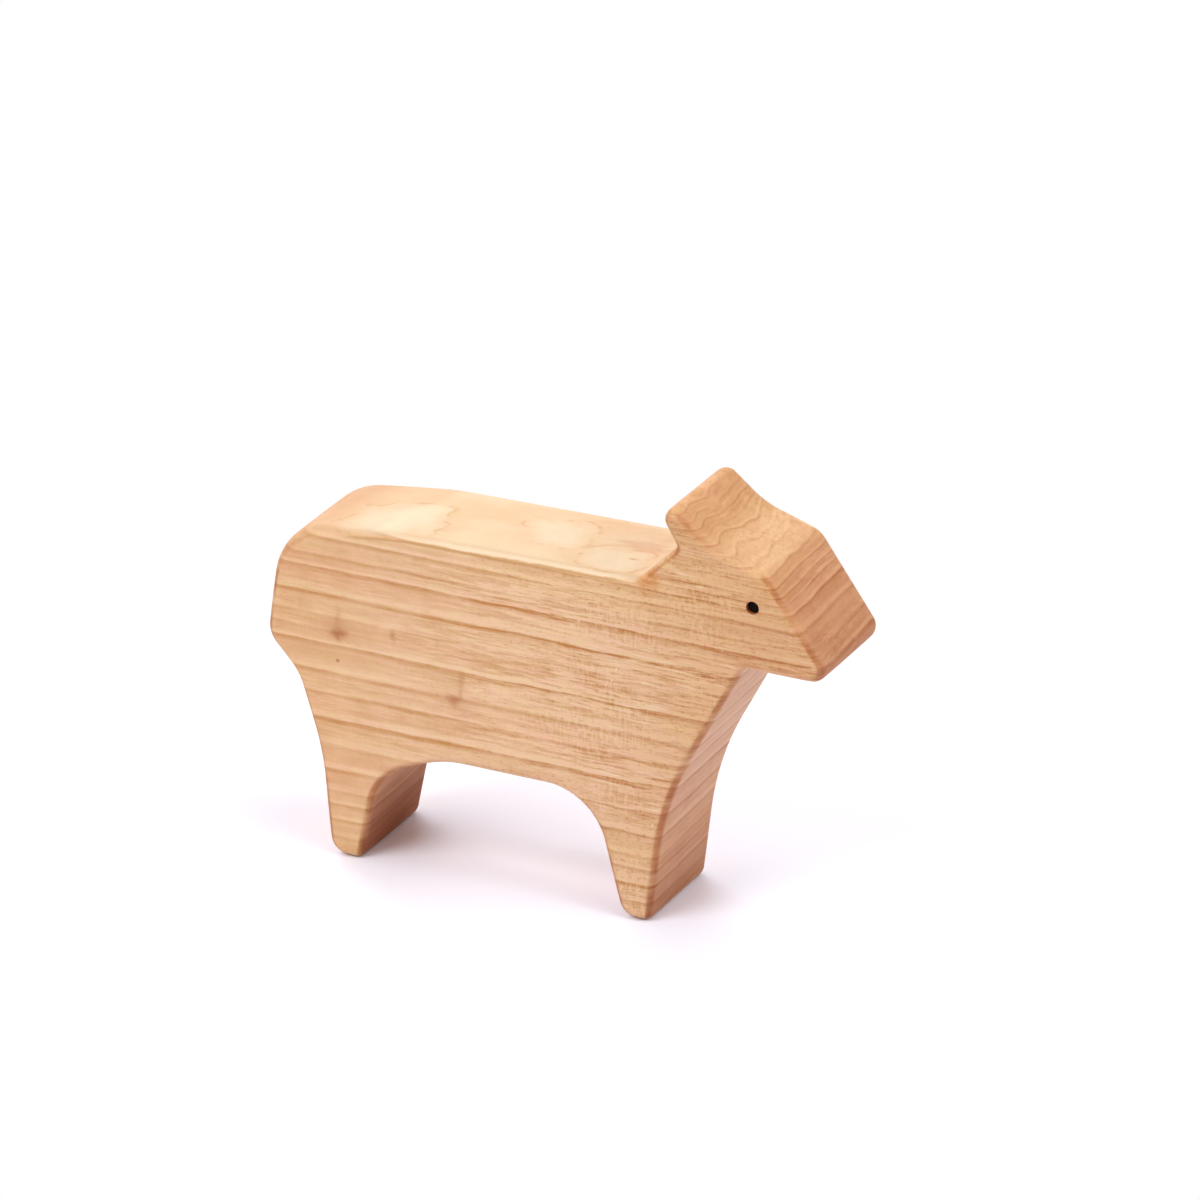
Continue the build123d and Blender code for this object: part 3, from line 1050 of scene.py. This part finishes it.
# Each streak has its middle, half its length and width, and its strength
ROSY_STREAKS = [((60.5, 1.2), (8.0, 3.6), 0.60), ((60.8, -4.7), (1.3, 0.6), 1.0)]
ROSY_TINT, ROSY_RANGE = (0.80, 0.56, 0.50, 1), (1.0, 0.3)
ROSY_PER_MM, ROSY_DETAIL, ROSY_WANDER = (0.11, 0.75, 0.0), 3.0, 1.5
BACK_SHARE = 0.75


def lay_back(tree, spot, colour):
    """Blushing pale wood, then the figure's woods, then rosy streaks, mixed in where the back is."""
    figure = use_group(tree, back_figure, {"Place": spot})
    along, across_board, _ = place(tree, "SeparateXYZ", {0: spot})
    blush = stretch(tree, spot, BLUSH_PER_MM, BLUSH_DETAIL)
    blush = calc(tree, "MULTIPLY_ADD", across_board, BLUSH_ACROSS, blush)
    pale = mix(tree, between(tree, blush, *BLUSH_RANGE), BACK_WOOD, LATE_WOOD)
    pale = mix(tree, between(tree, along, RUMP_FROM + heel_x, RUMP_FULL + heel_x), pale, RUMP_WOOD)
    for name, (wood, share) in FIGURE_WOODS.items():
        pale = mix(tree, times(tree, figure[name], share), pale, wood)
    streaky = sway(tree, spot, ROSY_PER_MM, ROSY_DETAIL)
    for middle, half, share in ROSY_STREAKS:
        reach = calc(tree, "MULTIPLY_ADD", streaky, ROSY_WANDER, oval_reach(tree, spot, middle, half))
        pale = multiply(tree, times(tree, between(tree, reach, *ROSY_RANGE), share), pale, ROSY_TINT)
    return mix(tree, times(tree, fact(tree, "flat_cut"), BACK_SHARE), colour, pale)


print("rosy streaks:", len(ROSY_STREAKS))

# %% [markdown]
# Along the near edge of the back lies a cream strip, a painted highlight where the rounded edge catches
# the light, between the back and the first brown line on the side. Both follow the rounded edge, so they
# are placed by how far the surface has turned from facing up to facing sideways, with noise to keep them
# from looking ruled. The foot of the neck, where the sander stops, is a little browner.

# %% Near edge of the back
# The cream colour and its ranges are a painted highlight, the light caught by the near rounded edge; the
# brown line under it is wood.
PAINTED_HIGHLIGHT = (0.900, 0.700, 0.480, 1)
HIGHLIGHT_IN, HIGHLIGHT_OUT = (0.22, 0.48), (0.74, 0.58)
HIGHLIGHT_ALONG = ((12.0, 26.0), (68.0, 58.0))
EDGE_LINE = (0.600, 0.330, 0.120, 1)
LINE_IN, LINE_OUT = (0.62, 0.80), (0.99, 0.88)
LINE_ALONG = ((2.0, 9.0), (68.0, 58.0))
EDGE_HEIGHT = (66.0, 67.0)
EDGE_PER_MM, EDGE_DETAIL, EDGE_WANDER = (0.17, 0.17, 0.17), 4.0, 0.45
EDGE_SHARE = 0.8
NECK_FOOT_X, NECK_FOOT_HEIGHT = 68.0, 71.2
NECK_TINT, NECK_REACH = (0.90, 0.70, 0.50, 1), (4.0, 1.0)
NECK_WANDER = 6.0


def edge_the_back(tree, spot, colour):
    """The painted highlight strip and the brown line below it, by how far the edge has turned, and the neck's
    foot.
    """
    turn = fact(tree, "near_turn")
    along, _, height = place(tree, "SeparateXYZ", {0: spot})
    from_heel = calc(tree, "SUBTRACT", along, heel_x)
    top = between(tree, height, *EDGE_HEIGHT)
    wander = sway(tree, spot, EDGE_PER_MM, EDGE_DETAIL)
    bent = calc(tree, "MULTIPLY_ADD", wander, EDGE_WANDER, turn)
    highlight = times(tree, between(tree, bent, *HIGHLIGHT_IN), between(tree, bent, *HIGHLIGHT_OUT))
    line = times(tree, between(tree, bent, *LINE_IN), between(tree, turn, *LINE_OUT))
    for mask, wood, (begin, end) in ((highlight, PAINTED_HIGHLIGHT, HIGHLIGHT_ALONG), (line, EDGE_LINE, LINE_ALONG)):
        here = times(tree, between(tree, from_heel, *begin), between(tree, from_heel, *end))
        colour = mix(tree, times(tree, mask, top, here, EDGE_SHARE), colour, wood)
    foot = (NECK_FOOT_X + heel_x, -half_board, NECK_FOOT_HEIGHT)
    gap = calc(tree, "MULTIPLY_ADD", wander, NECK_WANDER, vectors(tree, "DISTANCE", spot, foot))
    return multiply(tree, between(tree, gap, *NECK_REACH), colour, NECK_TINT)


print("edge line from", LINE_ALONG[0][0], "to", LINE_ALONG[1][0], "mm in front of the heel")

# %% [markdown]
# Then the cut across the fibres: end grain drinks more oil and comes out deep and rosy. Between the legs,
# at the feet, under the muzzle and low on the chest it is darkened more, as painted shade, and on the
# leaning chest it is made paler and bluer, as painted light from the bright table. The rounded edges beside
# it are burnished brown in places, the ear is golden, and the drill scorched the walls of its holes.
# A tint that multiplies the colour keeps the grain below it in sight, which plain mixing would hide.

# %% End grain and edges
END_WOOD, END_RANGE = (0.920, 0.810, 0.780, 1), (0.30, 0.90)
EDGE_WOOD = (0.700, 0.480, 0.310, 1)
ROUNDED_RANGE, BESIDE_END = (0.25, 0.95), (0.10, 0.45)
SANDED_PER_MM, SANDED_DETAIL, SANDED_RANGE = (0.14, 0.14, 0.18), 5.0, (0.38, 0.62, 0.25, 1.0)
EAR_WOOD = (0.88, 0.80, 0.66, 1)
EAR_FROM, EAR_FULL = 77.0, 82.0
# Of these tints the first is painted shade, the third painted light from the bright table, and the second the
# scorch in the drilled holes.
FACT_TINTS = {
    "dull_end_painted_shade": (0.46, 0.29, 0.27, 1),
    "drilled": (0.60, 0.32, 0.22, 1),
    "painted_chest_glow": (1.07, 1.23, 1.52, 1),
}


def deepen_ends(tree, spot, colour):
    """End grain, burnished edges, the ear and three more facts each multiply the colour by a tint; two of the
    facts are painted shade and painted light.
    """
    end_grain = fact(tree, "end_grain")
    colour = multiply(tree, between(tree, end_grain, *END_RANGE), colour, END_WOOD)
    rounded = between(tree, fact(tree, "rounded_edge"), *ROUNDED_RANGE)
    sanded = between(tree, stretch(tree, spot, SANDED_PER_MM, SANDED_DETAIL), *SANDED_RANGE)
    burnish = times(tree, rounded, between(tree, end_grain, *BESIDE_END), sanded)
    colour = multiply(tree, burnish, colour, EDGE_WOOD)
    height = place(tree, "SeparateXYZ", {0: spot})[2]
    colour = multiply(tree, between(tree, height, EAR_FROM, EAR_FULL), colour, EAR_WOOD)
    for name, tint in FACT_TINTS.items():
        colour = multiply(tree, fact(tree, name), colour, tint)
    return colour


print("end grain tint:", END_WOOD[:3])

# %% [markdown]
# Last, gloss and relief. Rubbed oil leaves a satin gloss and a thin clear coat. The dense lines shine a
# little more than the open wood, and the end grain that carries the painted shade stays dull. The lines and
# threads stand up by a few hundredths of a millimetre. That is too fine for the mesh, so the Bump node
# turns it into shading.

# %% Oiled wood
OIL_COAT = 0.08
OIL_COAT_ROUGHNESS = 0.30
OPEN_WOOD_ROUGHNESS = 0.50
LINES_SMOOTHER, THREADS_ROUGHER, ENDS_ROUGHER = -0.06, 0.06, 0.30
GRAIN_RELIEF = 0.00006
RELIEF_SHARE, RELIEF_STRENGTH = 0.5, 0.35


def start_material(name):
    """A new material, its network of nodes and its shader."""
    material = bpy.data.materials.new(name)
    material.use_nodes = True
    return material, material.node_tree, material.node_tree.nodes["Principled BSDF"]


def oiled_wood():
    """Colour, gloss and relief of the oiled board, in Object coordinates."""
    material, tree, shader = start_material("oiled wood")
    here = place(tree, "TexCoord")["Object"]
    spot, grain, height = use_group(tree, grain_space, {"Object": here})
    colour, layers, streaks = board_colour(tree, grain, height)
    colour = lay_back(tree, spot, mark_buds(tree, grain, colour))
    colour = deepen_ends(tree, spot, edge_the_back(tree, spot, colour))
    shaded_ends = fact(tree, "dull_end_painted_shade")
    roughness = calc(tree, "MULTIPLY_ADD", layers["Autumn"], LINES_SMOOTHER, OPEN_WOOD_ROUGHNESS)
    roughness = calc(tree, "MULTIPLY_ADD", streaks["Threads"], THREADS_ROUGHER, roughness)
    roughness = calc(tree, "MULTIPLY_ADD", shaded_ends, ENDS_ROUGHER, roughness)
    relief = times(tree, calc(tree, "ADD", layers["Autumn"], streaks["Threads"]), RELIEF_SHARE)
    bump = {"Strength": RELIEF_STRENGTH, "Distance": GRAIN_RELIEF, "Height": relief}
    fill(tree, shader, {
        "Base Color": colour,
        "Roughness": roughness,
        "Coat Weight": calc(tree, "MULTIPLY_ADD", shaded_ends, -OIL_COAT, OIL_COAT),
        "Coat Roughness": OIL_COAT_ROUGHNESS,
        "Normal": place(tree, "Bump", bump)[0],
    })
    return material


sheep_body.data.materials.append(oiled_wood())
print("material:", sheep_body.data.materials[0].name)

# %% [markdown]
# The eyes are blackened wood. They are dark all over, but the fibres still show as a faint relief,
# so the same group of fibres is used again with darker colours and a duller gloss.

# %% Dark eye
DARK_EYE = (0.003, 0.002, 0.002, 1)
WORN_EYE = (0.010, 0.006, 0.005, 1)
EYE_SHINE = 0.06
EYE_ROUGHNESS, EYE_THREADS_ROUGHER = 0.55, 0.15
EYE_RELIEF = 0.5


def dark_eye():
    """Blackened wood: near black, a little paler along some fibres."""
    material, tree, shader = start_material("dark eye")
    here = place(tree, "TexCoord")["Object"]
    grain = use_group(tree, grain_space, {"Object": here})["Grain"]
    threads = use_group(tree, fibres_and_rays, {"Grain": grain})["Threads"]
    bump = {"Strength": EYE_RELIEF, "Distance": GRAIN_RELIEF, "Height": threads}
    fill(tree, shader, {
        "Base Color": mix(tree, threads, DARK_EYE, WORN_EYE),
        "Roughness": calc(tree, "MULTIPLY_ADD", threads, EYE_THREADS_ROUGHER, EYE_ROUGHNESS),
        "Specular IOR Level": EYE_SHINE,
        "Normal": place(tree, "Bump", bump)[0],
    })
    return material


eye_material = dark_eye()
for eye in eyes.values():
    eye.data.materials.append(eye_material)
print("material:", eye_material.name)

# %% [markdown]
# The toy stands on a plain white table. To the light, the table is a pale, faintly rosy sheet that sends
# some of the light back up under the belly. To the camera and in reflections it is brighter than that,
# as in a picture exposed for the wood, and a hand's width away from the toy it turns into plain white. So
# the open table is white from every side, and only the shadow is left.

# %% Table
TABLE_SIZE = 6.0
TABLE_DROP = 0.00002
TABLE_LINES = 5
TABLE_COLOUR = (0.78, 0.735, 0.765, 1)
SEEN_COLOUR = (0.99, 0.995, 1.11, 1)
SHADOW_REACH, WHITE_FROM = 0.04, 0.17
WHITE = (1, 1, 1, 1)

table_line = np.linspace(-TABLE_SIZE / 2, TABLE_SIZE / 2, TABLE_LINES)
table_x, table_y = np.meshgrid(table_line, table_line, indexing="ij")
table_points = np.stack([table_x, table_y, np.full_like(table_x, -TABLE_DROP)], axis=-1).reshape(-1, 3)
open_faces = grid_faces(TABLE_LINES, TABLE_LINES)[:1 - TABLE_LINES]
table = make_piece("table", table_points / MM, [open_faces])


def seen(tree):
    """1 for what the camera sees, directly, in a reflection or through glass; 0 for light on its way."""
    ray = place(tree, "LightPath")
    shown = calc(tree, "MAXIMUM", ray["Is Camera Ray"], ray["Is Glossy Ray"])
    return calc(tree, "MAXIMUM", shown, ray["Is Transmission Ray"])


table_material, tree, shader = start_material("white table")
tree.nodes.remove(shader)
matt = place(tree, "BsdfDiffuse", {"Color": TABLE_COLOUR})[0]
bright = place(tree, "BsdfDiffuse", {"Color": SEEN_COLOUR})[0]
white = place(tree, "Emission", {"Color": WHITE, "Strength": 1.0})[0]
away = vectors(tree, "LENGTH", place(tree, "TexCoord")["Object"])
shown = place(tree, "MixShader", {0: between(tree, away, SHADOW_REACH, WHITE_FROM), 1: bright, 2: white})[0]
surface = place(tree, "MixShader", {0: seen(tree), 1: matt, 2: shown})[0]
fill(tree, tree.nodes["Material Output"], {"Surface": surface})
table.data.materials.append(table_material)
print("table:", TABLE_SIZE, "m square")

# %% [markdown]
# The light is a soft studio light: a lamp overhead, one on each side of the toy, one in front of its nose,
# and a white room that fills the shadows. The wide low lamp on the far side shines in under the belly, so
# that the shadow there stays pale; it is kept out of reflections, or it would lay a white glare over the
# back. The room is shown at full white to the camera and in reflections, and lights the toy at a lower
# level, so that colours come out as written.

# %% Light
ROOM_LEVEL = 0.31
LAMPS = {
    "overhead": ((0.56, 0.0, 1.75), 1.2, 9.2),
    "near side": ((-0.61, -1.14, 1.29), 1.1, 15.5),
    "far side": ((-1.05, 1.25, 0.80), 1.6, 23.0),
    "nose side": ((1.53, 0.0, 0.99), 1.1, 9.9),
}
LAMP_AIM = Vector((0, 0, 0.04))
OUT_OF_REFLECTIONS = {"far side"}

for name, (lamp_place, size, power) in LAMPS.items():
    lamp = bpy.data.lights.new(name, "AREA")
    lamp.shape = "DISK"
    lamp.size = size
    lamp.energy = power
    holder = bpy.data.objects.new(name, lamp)
    turned_to = (LAMP_AIM - Vector(lamp_place)).to_track_quat("-Z", "Y").to_matrix().to_4x4()
    holder.matrix_world = Matrix.Translation(lamp_place) @ turned_to
    holder.visible_glossy = name not in OUT_OF_REFLECTIONS
    bpy.context.scene.collection.objects.link(holder)

room = bpy.data.worlds.new("white room")
room.use_nodes = True
tree = room.node_tree
strength = place(tree, "MapRange", {0: seen(tree), 1: 0.0, 2: 1.0, 3: ROOM_LEVEL, 4: 1.0})[0]
fill(tree, tree.nodes["Background"], {"Color": WHITE, "Strength": strength})
bpy.context.scene.world = room
bpy.context.scene.view_settings.view_transform = "Standard"
print("lamps:", list(LAMPS))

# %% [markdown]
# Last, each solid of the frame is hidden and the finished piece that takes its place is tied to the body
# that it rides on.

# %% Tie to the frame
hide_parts("wooden_body")
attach(sheep_body, "root")
for node, eye in eyes.items():
    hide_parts(node)
    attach(eye, "root")
